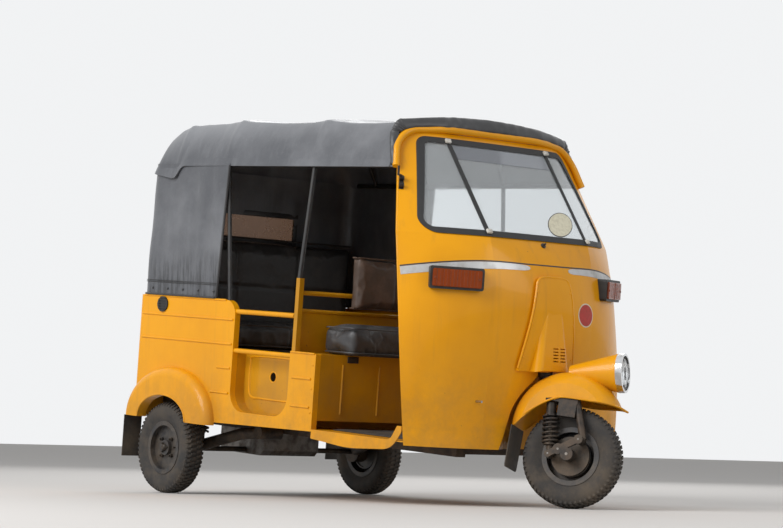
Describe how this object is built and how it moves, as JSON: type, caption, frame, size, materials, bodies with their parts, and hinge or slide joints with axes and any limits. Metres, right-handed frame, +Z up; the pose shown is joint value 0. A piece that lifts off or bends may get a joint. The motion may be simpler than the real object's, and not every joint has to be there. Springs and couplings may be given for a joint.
{
  "type": "auto rickshaw",
  "caption": "Auto rickshaw with a rounded sheet cowl, open sides, cloth canopy, bench seat, steered front fork under a fender with headlamp, and free-rolling wheels.",
  "frame": {"origin": "bottom centre of the bounding box, on the ground under the vehicle's middle", "axes": "+X forward along the vehicle, +Y to its left, +Z up"},
  "size_m": [2.492, 1.3, 1.7111],
  "materials": {
    "yellow_paint": "glossy, weathered",
    "black_canopy": "coated cloth",
    "black_paint": "satin",
    "dark_steel": "oily",
    "glass": "clear",
    "film": "dull",
    "seal_rubber": "matt",
    "flap_rubber": "matt",
    "tyre": "dusty",
    "rim_paint": "dusty",
    "lamp_housing": "matt",
    "amber_lens": "clear",
    "red_lens": "clear",
    "chrome": "polished",
    "lamp_glass": "clear",
    "brown_cover": "worn",
    "black_cover": "worn",
    "cast_metal": "cast",
    "bright_wire": "dull"
  },
  "bodies": {
    "body": {"cowl": "yellow_paint", "screen_seal": "seal_rubber", "screen_glass": "glass", "header_brow": "yellow_paint", "nose_cover": "yellow_paint", "steering_head": "dark_steel", "indicator_housings": "lamp_housing", "indicator_lenses": "amber_lens", "floor_pan": "yellow_paint", "underframe": "dark_steel", "side_panel_right": "yellow_paint", "side_panel_left": "yellow_paint", "step_recess": "yellow_paint", "rear_panel": "yellow_paint", "engine_cover": "yellow_paint", "seat_tub": "black_paint", "driver_seat_box": "yellow_paint", "partition": "yellow_paint", "wheel_flares": "yellow_paint", "side_vents": "lamp_housing", "hood_frame": "black_paint", "driver_rest_bar": "yellow_paint", "entry_rails": "yellow_paint", "canopy_roof": "black_canopy", "rear_curtain": "black_canopy", "rear_window": "film", "driver_seat": "brown_cover", "driver_backrest": "brown_cover", "passenger_seat": "black_cover", "passenger_backrest": "black_cover", "tie_hook": "bright_wire", "mirror_bracket": "black_paint", "tail_lamps": "red_lens", "engine_block": "cast_metal", "trailing_arms": "dark_steel", "rear_shocks": "dark_steel", "rear_flaps": "flap_rubber"},
    "fork": {"fork": "dark_steel", "fork_link": "dark_steel", "front_spring": "dark_steel", "front_fender": "yellow_paint", "headlamp_ring": "chrome", "headlamp_lens": "lamp_glass", "front_flap": "flap_rubber", "handlebar": "black_paint"},
    "front_wheel": {"front_tyre": "tyre", "front_rim": "rim_paint"},
    "rear_right_wheel": {"rear_right_tyre": "tyre", "rear_right_rim": "rim_paint"},
    "rear_left_wheel": {"rear_left_tyre": "tyre", "rear_left_rim": "rim_paint"}
  },
  "joints": [
    {"name": "steering", "type": "hinge", "parent": "body", "child": "fork", "pos_m": [1.01579, 0, 0.21048], "axis": [-0.309, 0, 0.9511], "range_deg": [-72, 8]},
    {"name": "front_wheel_spin", "type": "hinge", "parent": "fork", "child": "front_wheel", "pos_m": [1.05465, 0.02211, 0.20538], "axis": [-0.504, 0.848, -0.1638], "continuous": true},
    {"name": "rear_right_wheel_spin", "type": "hinge", "parent": "body", "child": "rear_right_wheel", "pos_m": [-0.9443, -0.581, 0.206], "axis": [0, 1, 0], "continuous": true},
    {"name": "rear_left_wheel_spin", "type": "hinge", "parent": "body", "child": "rear_left_wheel", "pos_m": [-0.9443, 0.581, 0.206], "axis": [0, 1, 0], "continuous": true}
  ]
}
